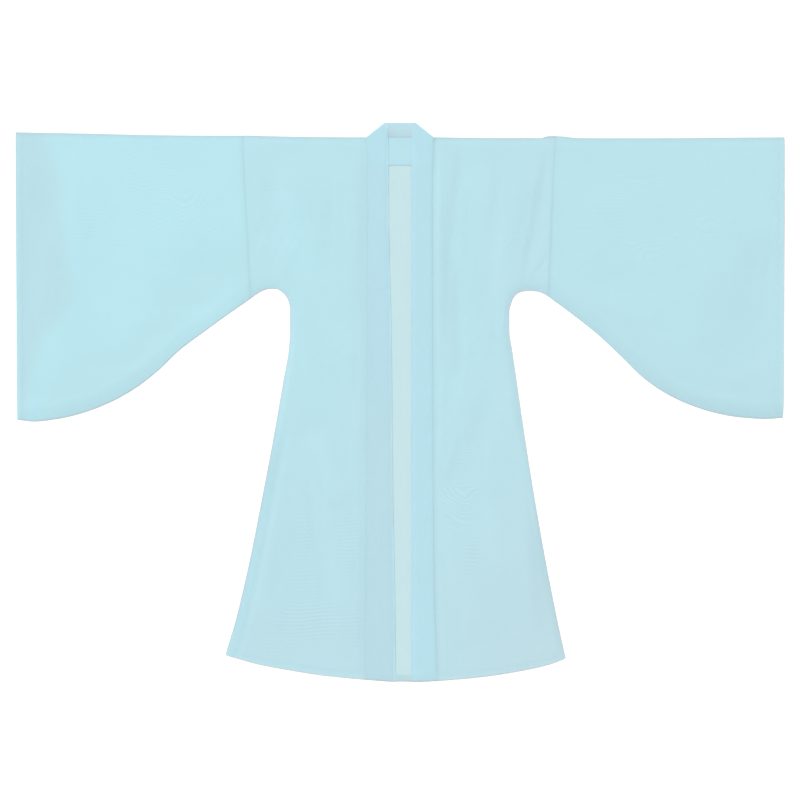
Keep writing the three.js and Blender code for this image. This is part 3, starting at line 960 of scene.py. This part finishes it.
def add_allowances(side, front_material, back_material):
    """Seam allowances: two at the sleeve seam and one pressed inward along the side seam."""
    out = SIDES[side]
    seam = sleeve_seam_line(side)
    levels = np.linspace(seam[0, 1] - CUFF_TURN_GAP, seam[-1, 1] + CUFF_TURN_GAP, 60)
    armhole = np.stack([np.interp(-levels, -seam[:, 1], seam[:, 0]), levels], axis=1)
    levels = np.linspace(SIDE_ALLOWANCE[side]["top"], HEM_CORNER[side] + 2, 60)
    side_edge = np.stack([side_seam[side](levels), levels], axis=1)
    in_sleeve = out * SEAM_INSET, out * SLEEVE_ALLOWANCE
    in_front = -out * SIDE_ALLOWANCE_GAP, -out * SIDE_ALLOWANCE[side]["width"]

    def under_upper(x, y):
        return upper_height(x, y) - STRIP_GAP

    def over_under(x, y):
        return under_height(x, y) + STRIP_GAP

    def under_front(x, y):
        return front_height(x, y) - STRIP_GAP

    strips = [
        ("sleeve_allowance", armhole, in_sleeve, under_upper, (90, 4), front_material, cloth_marks),
        ("sleeve_allowance_under", armhole, in_sleeve, over_under, (90, 3), front_material, back_marks),
        ("side_allowance", side_edge, in_front, under_front, (180, 6), back_material, back_marks),
    ]
    return [add_strip(f"{name}_{side}", *form) for name, *form in strips]


# Collar


def collar_stations():
    """Sections of the collar from the left hem up, round the neck and down to the right hem.

    Each is its sewn edge, its free edge and the way up from its middle.
    """
    up = Vector((0, 0, 1))
    front_count, turn_count, neck_count = 250, 8, 26

    def front_stretch(side):
        sections = []
        for t in np.linspace(0, 1, front_count + 1):
            sewn_y = share(float(hem(collar_seam[side](HEM_LOWEST))), NECK_LEVEL, t)
            free_y = share(float(hem(collar_edge[side](HEM_LOWEST))), NECK_TOP, t)
            sewn_z = float(collar_level(sewn_y))
            free_z = float(collar_level(free_y))
            sewn_x = float(collar_seam[side](sewn_y))
            if t > 0.999:
                sewn_x = SIDES[side] * NECK_HALF_WIDTH
            sewn_point = Vector((sewn_x, sewn_y, sewn_z))
            free_point = Vector((float(collar_edge[side](free_y)), free_y, free_z))
            sections.append((sewn_point, free_point, up.copy()))
        return sections

    def turn(side):
        out = SIDES[side]
        turn_radius = (COLLAR_LEVEL[0][1] - NECK_STRETCH_LEVEL) / 2
        level = NECK_STRETCH_LEVEL + turn_radius
        sewn_point = Vector((out * NECK_HALF_WIDTH, NECK_LEVEL, level))
        free_point = Vector((out * NECK_TOP_HALF_WIDTH, NECK_TOP, level))
        rise_y = free_point.y - sewn_point.y
        lean_x = sewn_point.x - free_point.x
        away = Vector((out * rise_y, out * lean_x, 0)).normalized()
        sections = []
        for t in np.linspace(0, 1, turn_count + 1)[1:]:
            lean = up * math.cos(math.pi * t) + away * math.sin(math.pi * t)
            offset = lean * turn_radius
            sections.append((sewn_point + offset, free_point + offset, lean))
        return sections

    def neck_stretch():
        sections = []
        for t in np.linspace(-1, 1, neck_count + 1)[1:-1]:
            sewn_point = Vector((t * NECK_HALF_WIDTH, NECK_LEVEL, NECK_STRETCH_LEVEL))
            free_point = Vector((t * NECK_TOP_HALF_WIDTH, NECK_TOP, NECK_STRETCH_LEVEL))
            sections.append((sewn_point, free_point, -up))
        return sections

    left = front_stretch("left") + turn("left")
    right = front_stretch("right") + turn("right")
    return left + neck_stretch() + right[::-1]


def collar_ripple(y, along):
    """Slight waves of the doubled strip, which the iron left."""
    wave = 0.08 * np.sin(y * 0.021 + 0.7) + 0.06 * np.sin(y * 0.047 + 2.1 + along)
    return wave + 0.04 * np.sin(y * 0.11 + 3 * along)


def add_collar(material):
    """The collar, a strip doubled on its free edge and open on the edge that is sewn."""
    stations = collar_stations()
    sewn_points = np.array([station[0][:] for station in stations])
    free_points = np.array([station[1][:] for station in stations])
    ups = np.array([station[2][:] for station in stations])
    ply_count, fold_count = 14, 6
    total = 2 * ply_count + fold_count
    bm = bmesh.new()

    def place(u, v):
        i = np.rint(u * (len(stations) - 1)).astype(int)
        k = np.rint(v * total)
        across = free_points[i] - sewn_points[i]
        width = np.linalg.norm(across, axis=1)
        across /= width[:, None]
        flat_width = width - COLLAR_EDGE_HALF - PLY / 2
        on_top = k <= ply_count
        on_bottom = k >= ply_count + fold_count
        share_across = np.where(on_top, k / ply_count, (total - k) / ply_count)
        share_across = np.where(on_top | on_bottom, share_across, 1)
        angle = math.pi * (0.5 - (k - ply_count) / fold_count)
        on_fold = ~on_top & ~on_bottom
        reach = share_across * flat_width + np.where(on_fold, COLLAR_EDGE_HALF * np.cos(angle), 0)
        closing = smooth(share_across * flat_width, -1, 6)
        near_edge = smooth((1 - share_across) * flat_width, 0, 12)
        half = share(COLLAR_EDGE_HALF, COLLAR_HALF, near_edge) * share(0.65, 1, closing)
        half = half * share(0.5, 1, smooth(sewn_points[i][:, 1] - HEM_LOWEST, 2, 16))
        half = np.where(on_top, half, -half)
        half = np.where(on_fold, COLLAR_EDGE_HALF * np.sin(angle), half)
        on_front = smooth(NECK_LEVEL - sewn_points[i][:, 1], 0, 60)
        half = half - COLLAR_EDGE_DROP * (1 - near_edge) * on_front
        waves = collar_ripple(sewn_points[i][:, 1], share_across) * np.clip(closing, 0.3, 1)
        waves *= on_front
        lift = half + np.where(on_bottom, 0.3, 1) * waves * (1 - 0.6 * on_fold)
        return (sewn_points[i] + across * reach[:, None] + ups[i] * lift[:, None]).T

    add_grid(bm, len(stations) - 1, total, place)
    return finish_sheet("collar_band", bm, material, collar_marks)


def collar_marks(x, y, z):
    """Marks along the collar's seam and fold, over the facing and behind the neck."""
    left = np.clip(x - collar_seam["left"](y), 0, None)
    right = np.clip(collar_seam["right"](y) - x, 0, None)
    from_seam = np.minimum(left, right)
    from_edge = np.where(x < 0, collar_edge["left"](y) - x, x - collar_edge["right"](y))
    on_left = x < 0
    hem_gap = distance_to(HEM_LINES, x, y)
    at_edge = near(np.abs(from_edge), 0.3, 3.5)
    # Painted light on the left band's free edge, which turns from the lamp, and painted shade on the
    # right band's, which faces it
    shade = 0.35 * near(from_seam, 0.5, 4) + np.where(on_left, -1.3, 0.35) * at_edge
    shade += 0.15 * near(hem_gap, HEM_TURN - 4, HEM_TURN)
    grey = np.where(on_left, 0.12 + 0.3 * smooth(-y, -600, 300), 0.05)
    over_facing = smooth(y, NECK_LEVEL - FACING_DEPTH - 1, NECK_LEVEL - FACING_DEPTH + 1)
    grey = grey - 0.2 * over_facing
    # Behind the neck: painted light on the collar's top fold and painted shade deepening down into the
    # recess below it
    behind_neck = (np.abs(x) < 31) & (y > NECK_LEVEL - 2)
    into_robe = smooth(NECK_TOP - y, 8, 34)
    # Two darker places low behind the neck, the left one stronger
    darker = np.exp(-(((x + 22) / 10) ** 2) - ((y - 671) / 11) ** 2)
    darker += 0.5 * np.exp(-(((x - 20) / 8) ** 2) - ((y - 669) / 9) ** 2)
    grey = np.where(behind_neck, share(0.4, 0.72, into_robe) + 0.35 * darker, grey)
    shade = np.where(behind_neck, share(-0.22, -0.12, into_robe) + 0.2 * darker, shade)
    at_top = np.where(y > NECK_LEVEL, near(NECK_TOP - y, 1, 4), 0)
    grey = np.maximum(grey, np.maximum(at_top, near(hem_gap, 0.5, 5)))
    return plain_marks(shade, grey)


def add_facing(material):
    """The rectangle inside the back neck, hung from the collar's seam, with turned edges."""
    seam = NECK_LEVEL - 0.6

    def plan(u, v):
        half = FACING_HALF_WIDTH - 0.2
        return share(-half, half, u), share(seam, seam - FACING_DEPTH + 0.2, v)

    def facing_height(x, y):
        return FACING_LEVEL + 0.06 * np.sin(x * 0.13 + 0.5) * np.sin(y * 0.09)

    def facing_marks(x, y, z):
        from_side = FACING_HALF_WIDTH - np.abs(x)
        from_bottom = y - (seam - FACING_DEPTH)
        return plain_marks(0.1 * near(np.minimum(from_side, from_bottom), 5, 8), 0.0)

    return cloth_sheet("neck_facing_cloth", [(30, 28, plan)], facing_height, material, facing_marks)


# Thread


def add_stitches(name, rows, material):
    """Rows of stitches as one mesh: each row is a line in plan and a height over it."""
    bm = bmesh.new()
    half_size = [STITCH[way] / 2 * MM for way in ("length", "width", "height")]
    shape = Matrix.Diagonal((*half_size, 1))
    for line, height in rows:
        gaps = np.hypot(*np.diff(line, axis=0).T)
        walked = np.concatenate([[0], np.cumsum(gaps)])
        for middle in np.arange(STITCH["pitch"] / 2, walked[-1], STITCH["pitch"]):
            ends = np.array([middle - 1, middle + 1])
            x = np.interp(ends, walked, line[:, 0])
            y = np.interp(ends, walked, line[:, 1])
            z = float(height(np.array([x.mean()]), np.array([y.mean()]))[0])
            turn = Matrix.Rotation(math.atan2(y[1] - y[0], x[1] - x[0]), 4, "Z")
            place = Matrix.Translation(Vector((x.mean(), y.mean(), z)) * MM)
            bmesh.ops.create_icosphere(bm, subdivisions=1, radius=1, matrix=place @ turn @ shape)
    piece = add_object(name, bm, material)
    piece.data.shade_smooth()
    return piece


def front_stitch_rows(side):
    out = SIDES[side]
    collar_x = float(collar_seam[side](HEM_LOWEST)) + out * 3
    corner_x = float(side_seam[side](HEM_CORNER[side])) - out * HEM_TURN_CORNER
    hem_x = np.linspace(collar_x, corner_x, 60)
    hem_row = np.stack([hem_x, hem(hem_x) + HEM_TURN - STITCH_INSET], axis=1)
    on_front = lambda x, y: front_height(x, y) + PLY / 2
    return [(hem_row, on_front)]


def sleeve_stitch_rows(side):
    out = SIDES[side]
    length = CUFF_TOP - abs(SLEEVE_SEAM_TOP[side])
    along = (CUFF_TURN - STITCH_INSET) / length
    t = np.linspace(0.01, 0.99, 80)
    top_x = share(out * CUFF_TOP, SLEEVE_SEAM_TOP[side], along)
    low_x = share(out * CUFF_BOTTOM, SLEEVE_SEAM_BOTTOM[side], along)
    low_y = float(sleeve_edge[side](abs(low_x)))
    row = np.stack([share(low_x, top_x, t), share(low_y, float(top(top_x)), t)], axis=1)
    on_sleeve = lambda x, y: FRONT_LEVEL + rise(x, y) + puckers(x, y) + PLY / 2
    return [(row, on_sleeve)]


def collar_stitch_rows(side):
    out = SIDES[side]
    y = np.linspace(float(hem(collar_seam[side](HEM_LOWEST))) + 2, NECK_LEVEL - 4, 200)
    row = np.stack([collar_seam[side](y) - out * 2.2, y], axis=1)
    on_collar = lambda x, y: collar_level(y) + COLLAR_HALF * 0.8 + PLY / 2
    return [(row, on_collar)]


def inner_stitch_rows():
    strip_x = np.linspace(-9, 27, 8)
    hem_row = np.stack([strip_x, hem(strip_x) + HEM_TURN - STITCH_INSET], axis=1)
    on_back = lambda x, y: back_height(x, y) + STRIP_GAP + PLY / 2
    half = FACING_HALF_WIDTH - STITCH_INSET
    low = NECK_LEVEL - FACING_DEPTH + STITCH_INSET
    facing_row = np.array([(-half, NECK_LEVEL - 3), (-half, low), (half, low), (half, NECK_LEVEL - 3)])
    on_facing = lambda x, y: np.full(np.shape(x), FACING_LEVEL + PLY / 2 + 0.05)
    neck_x = np.linspace(-30, 30, 12)
    neck_row = np.stack([neck_x, 0 * neck_x + NECK_LEVEL + 2], axis=1)
    on_neck = lambda x, y: np.full(np.shape(x), NECK_STRETCH_LEVEL + COLLAR_HALF * 0.7 + PLY / 2)
    return [(hem_row, on_back), (facing_row, on_facing), (neck_row, on_neck)]


# Materials


def build_chiffon_group():
    """Colour, see-through and relief of sheer plain-woven cloth."""
    group = bpy.data.node_groups.new("chiffon", "ShaderNodeTree")
    sockets = [
        ("Place", "INPUT", "Vector", None),
        ("Cloth", "INPUT", "Color", (0.5, 0.78, 0.86, 1)),
        ("Shaded cloth", "INPUT", "Color", (0.45, 0.7, 0.78, 1)),
        ("Greyed cloth", "INPUT", "Color", (0.52, 0.7, 0.75, 1)),
        ("Shade", "INPUT", "Float", 0.0),
        ("Grey", "INPUT", "Float", 0.0),
        ("Ripple", "INPUT", "Float", 0.0),
        ("Swirl", "INPUT", "Float", 0.0),
        ("Cover", "INPUT", "Float", COVER),
        ("Colour", "OUTPUT", "Color", None),
        ("Cover", "OUTPUT", "Float", None),
        ("Roughness", "OUTPUT", "Float", None),
        ("Relief", "OUTPUT", "Float", None),
    ]
    for name, way, kind, value in sockets:
        socket = group.interface.new_socket(name=name, in_out=way, socket_type=f"NodeSocket{kind}")
        if value is not None:
            socket.default_value = value
    nodes, links = group.nodes, group.links
    inputs = nodes.new("NodeGroupInput")
    outputs = nodes.new("NodeGroupOutput")

    def noise(scale, detail, stretch):
        """Noise of some cells per metre, stretched by different amounts each way."""
        mapping = nodes.new("ShaderNodeMapping")
        mapping.inputs["Scale"].default_value = stretch
        texture = nodes.new("ShaderNodeTexNoise")
        texture.inputs["Scale"].default_value = scale
        texture.inputs["Detail"].default_value = detail
        links.new(inputs.outputs["Place"], mapping.inputs["Vector"])
        links.new(mapping.outputs["Vector"], texture.inputs["Vector"])
        return texture.outputs["Fac"]

    def lines(direction, pitch, distortion, detail_scale):
        """Parallel lines as a wave with a pitch in millimetres."""
        wave = nodes.new("ShaderNodeTexWave")
        wave.bands_direction = direction
        wave.inputs["Scale"].default_value = math.pi / (10 * pitch * MM)
        wave.inputs["Distortion"].default_value = distortion
        wave.inputs["Detail"].default_value = 1.0
        wave.inputs["Detail Scale"].default_value = detail_scale
        links.new(inputs.outputs["Place"], wave.inputs["Vector"])
        return wave.outputs["Fac"]

    def math_node(operation, *values):
        node = nodes.new("ShaderNodeMath")
        node.operation = operation
        for socket, value in zip(node.inputs, values):
            if isinstance(value, (int, float)):
                socket.default_value = value
            else:
                links.new(value, socket)
        return node.outputs[0]

    def ranged(value, low, high):
        node = nodes.new("ShaderNodeMapRange")
        node.inputs["To Min"].default_value = low
        node.inputs["To Max"].default_value = high
        links.new(value, node.inputs["Value"])
        return node.outputs["Result"]

    def mixed(factor, first, second):
        node = nodes.new("ShaderNodeMix")
        node.data_type = "RGBA"
        links.new(factor, node.inputs["Factor"])
        links.new(first, node.inputs["A"])
        links.new(second, node.inputs["B"])
        return node.outputs["Result"]

    warp = lines("X", WARP_PITCH, 0.6, 0.35)
    weft = lines("Y", WEFT_PITCH, 0.6, 0.35)
    weave = math_node("MAXIMUM", warp, weft)
    slubs_across = noise(1, 2, (55, 520, 1))
    slubs_down = noise(1, 2, (480, 60, 1))
    slubs = math_node("ADD", slubs_across, slubs_down)
    clouds = noise(9, 3, (1, 1, 1))
    crinkle = noise(110, 3, (1, 0.7, 1))
    crepe = noise(430, 2, (1, 1, 1))

    ripples = ranged(lines("Y", RIPPLE_PITCH, 14, 0.14), -0.25, 0.45)
    swirls = ranged(lines("Y", SWIRL_PITCH, 60, 0.2), -0.3, 0.3)

    shade = math_node("ADD", inputs.outputs["Shade"], ranged(clouds, -0.12, 0.12))
    shade = math_node("ADD", shade, math_node("MULTIPLY", ranged(slubs, -0.5, 0.5), 0.35))
    shade = math_node("MULTIPLY_ADD", ripples, inputs.outputs["Ripple"], shade)
    shade = math_node("MULTIPLY_ADD", swirls, inputs.outputs["Swirl"], shade)
    greyed = mixed(inputs.outputs["Grey"], inputs.outputs["Cloth"], inputs.outputs["Greyed cloth"])
    shaded = nodes.new("ShaderNodeMix")
    shaded.data_type = "RGBA"
    shaded.blend_type = "MULTIPLY"
    shaded.clamp_factor = False
    links.new(shade, shaded.inputs["Factor"])
    links.new(greyed, shaded.inputs["A"])
    links.new(inputs.outputs["Shaded cloth"], shaded.inputs["B"])
    links.new(shaded.outputs["Result"], outputs.inputs["Colour"])

    cover = math_node("ADD", inputs.outputs["Cover"], ranged(weave, -0.1, 0.08))
    links.new(cover, outputs.inputs["Cover"])
    links.new(ranged(slubs, 0.9, 0.7), outputs.inputs["Roughness"])
    relief = math_node("MULTIPLY_ADD", crinkle, 4.5, weave)
    relief = math_node("MULTIPLY_ADD", crepe, 1.5, relief)
    links.new(relief, outputs.inputs["Relief"])
    return group


# Marks of a piece's points, and the sockets that take them
MARKS = {"shade": "Shade", "grey": "Grey", "ripple": "Ripple", "swirl": "Swirl"}


def srgb(red, green, blue):
    """Linear colour of an 8-bit one."""
    channels = [value / 255 for value in (red, green, blue)]
    linear = [v / 12.92 if v <= 0.04045 else ((v + 0.055) / 1.055) ** 2.4 for v in channels]
    return (*linear, 1)


def new_material(name):
    material = bpy.data.materials.new(name)
    material.use_nodes = True
    nodes, links = material.node_tree.nodes, material.node_tree.links
    return material, nodes, links, nodes["Principled BSDF"]


def add_bump(nodes, links, shader, height, strength):
    bump = nodes.new("ShaderNodeBump")
    bump.inputs["Strength"].default_value = strength
    bump.inputs["Distance"].default_value = 0.0001
    links.new(height, bump.inputs["Height"])
    links.new(bump.outputs["Normal"], shader.inputs["Normal"])


def chiffon(name, cloth, grey):
    """Sheer cloth of a colour, with a greyer colour that the grey mark mixes in for painted shade and
    along the cloth's edges.
    """
    material, nodes, links, shader = new_material(name)
    shader.inputs["Sheen Weight"].default_value = 0.12
    shader.inputs["Sheen Roughness"].default_value = 0.5
    shader.inputs["Specular IOR Level"].default_value = 0.3
    weave = nodes.new("ShaderNodeGroup")
    weave.node_tree = chiffon_group
    weave.inputs["Cloth"].default_value = srgb(*cloth)
    weave.inputs["Shaded cloth"].default_value = (0.91, 0.9, 0.91, 1)
    weave.inputs["Greyed cloth"].default_value = srgb(*grey)
    weave.inputs["Cover"].default_value = COVER
    place = nodes.new("ShaderNodeTexCoord")
    links.new(place.outputs["Object"], weave.inputs["Place"])
    for mark, socket in MARKS.items():
        reader = nodes.new("ShaderNodeAttribute")
        reader.attribute_name = mark
        links.new(reader.outputs["Fac"], weave.inputs[socket])
    add_bump(nodes, links, shader, weave.outputs["Relief"], 0.35)
    links.new(weave.outputs["Colour"], shader.inputs["Base Color"])
    links.new(weave.outputs["Cover"], shader.inputs["Alpha"])
    links.new(weave.outputs["Roughness"], shader.inputs["Roughness"])
    return material


def thread_material():
    material, nodes, links, shader = new_material("sewing_thread")
    place = nodes.new("ShaderNodeTexCoord")
    twist = nodes.new("ShaderNodeTexNoise")
    twist.inputs["Scale"].default_value = 900
    ramp = nodes.new("ShaderNodeMix")
    ramp.data_type = "RGBA"
    ramp.inputs["A"].default_value = srgb(158, 198, 208)
    ramp.inputs["B"].default_value = srgb(172, 211, 220)
    links.new(place.outputs["Object"], twist.inputs["Vector"])
    links.new(twist.outputs["Fac"], ramp.inputs["Factor"])
    links.new(ramp.outputs["Result"], shader.inputs["Base Color"])
    add_bump(nodes, links, shader, twist.outputs["Fac"], 0.3)
    shader.inputs["Roughness"].default_value = 0.55
    shader.inputs["Sheen Weight"].default_value = 0.2
    return material


# Studio


def add_floor():
    bm = bmesh.new()
    level = Matrix.Translation((0, 0, FLOOR_LEVEL))
    bmesh.ops.create_grid(bm, x_segments=2, y_segments=2, size=FLOOR_HALF, matrix=level)
    material, nodes, links, shader = new_material("pale_floor")
    shader.inputs["Base Color"].default_value = (0.95, 0.95, 0.95, 1)
    shader.inputs["Roughness"].default_value = 1.0
    shader.inputs["Specular IOR Level"].default_value = 0.0
    add_object("floor", bm, material)


def add_light():
    world = bpy.data.worlds.new("studio")
    world.use_nodes = True
    sky = world.node_tree.nodes["Background"]
    sky.inputs["Color"].default_value = (1, 1, 1, 1)
    sky.inputs["Strength"].default_value = SKY_STRENGTH
    bpy.context.scene.world = world
    light = bpy.data.lights.new("softbox", "SUN")
    light.angle = math.radians(SUN_SPREAD)
    light.energy = SUN_STRENGTH
    lamp = bpy.data.objects.new("softbox", light)
    lamp.location = SUN_PLACE
    lamp.rotation_euler = (-Vector(SUN_PLACE)).to_track_quat("-Z", "Y").to_euler()
    bpy.context.scene.collection.objects.link(lamp)


def add_camera():
    lens = bpy.data.cameras.new("camera")
    lens.lens = LENS
    lens.sensor_width = SENSOR
    camera = bpy.data.objects.new("camera", lens)
    camera.location = CAMERA_PLACE
    bpy.context.scene.collection.objects.link(camera)
    bpy.context.scene.camera = camera


bpy.context.scene.view_settings.view_transform = "Standard"
add_camera()
add_light()
add_floor()

chiffon_group = build_chiffon_group()
front_chiffon = chiffon("front_chiffon", (191, 230.5, 239), (200, 219, 226))
sleeve_chiffon = chiffon("sleeve_chiffon", (191, 232, 240), (193, 219, 226))
back_chiffon = chiffon("back_chiffon", (195, 224.5, 228.5), (192, 211, 215))
collar_chiffon = chiffon("collar_chiffon", (189, 228, 238), (194, 218, 227))
facing_chiffon = chiffon("facing_chiffon", (190, 229, 238), (193, 220, 227))
thread = thread_material()

back_panel = add_back(back_chiffon)
fronts = {side: add_front(side, front_chiffon) for side in SIDES}
sleeves = {side: add_sleeve(side, sleeve_chiffon) for side in SIDES}
collar_band = add_collar(collar_chiffon)
facing = add_facing(facing_chiffon)

cuff_turns = {side: add_cuff_turn(side, sleeve_chiffon) for side in SIDES}
hem_turns = {}
for side, out in SIDES.items():
    seam_x = float(collar_seam[side](HEM_LOWEST)) - out * BAND_ALLOWANCE
    side_x = float(side_seam[side](HEM_CORNER[side])) - out * HEM_TURN_CORNER
    name = f"front_hem_turn_{side}"
    front_way = (front_height, HEM_TURN_GAP, front_chiffon, cloth_marks)
    hem_turns[side] = add_hem_turn(name, (seam_x, side_x), 80, *front_way)
hem_ends = (HEM[0][0] + HEM_TURN_CORNER, HEM[-1][0] - HEM_TURN_CORNER)
back_way = (back_height, -HEM_TURN_GAP, back_chiffon, back_marks)
back_hem_turn = add_hem_turn("back_hem_turn", hem_ends, 180, *back_way)

allowances = {side: add_allowances(side, front_chiffon, back_chiffon) for side in SIDES}


def stitched(name, rows):
    """The same stitches on the left and on the right."""
    return {side: add_stitches(f"{name}_{side}", rows(side), thread) for side in SIDES}


front_stitches = stitched("front_stitches", front_stitch_rows)
sleeve_stitches = stitched("cuff_stitches", sleeve_stitch_rows)
collar_stitches = stitched("collar_stitches", collar_stitch_rows)
inner_stitches = add_stitches("inner_stitches", inner_stitch_rows(), thread)

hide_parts("back")
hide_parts("collar")
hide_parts("neck_facing")
for side in SIDES:
    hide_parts(f"front_{side}")
    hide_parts(f"sleeve_{side}")

body_pieces = [back_panel, facing, back_hem_turn, inner_stitches]
for group in (fronts, sleeves, cuff_turns, hem_turns, front_stitches, sleeve_stitches):
    body_pieces += list(group.values())
body_pieces += allowances["left"] + allowances["right"]
for piece in body_pieces:
    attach(piece, "root")
for piece in [collar_band, *collar_stitches.values()]:
    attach(piece, "root")
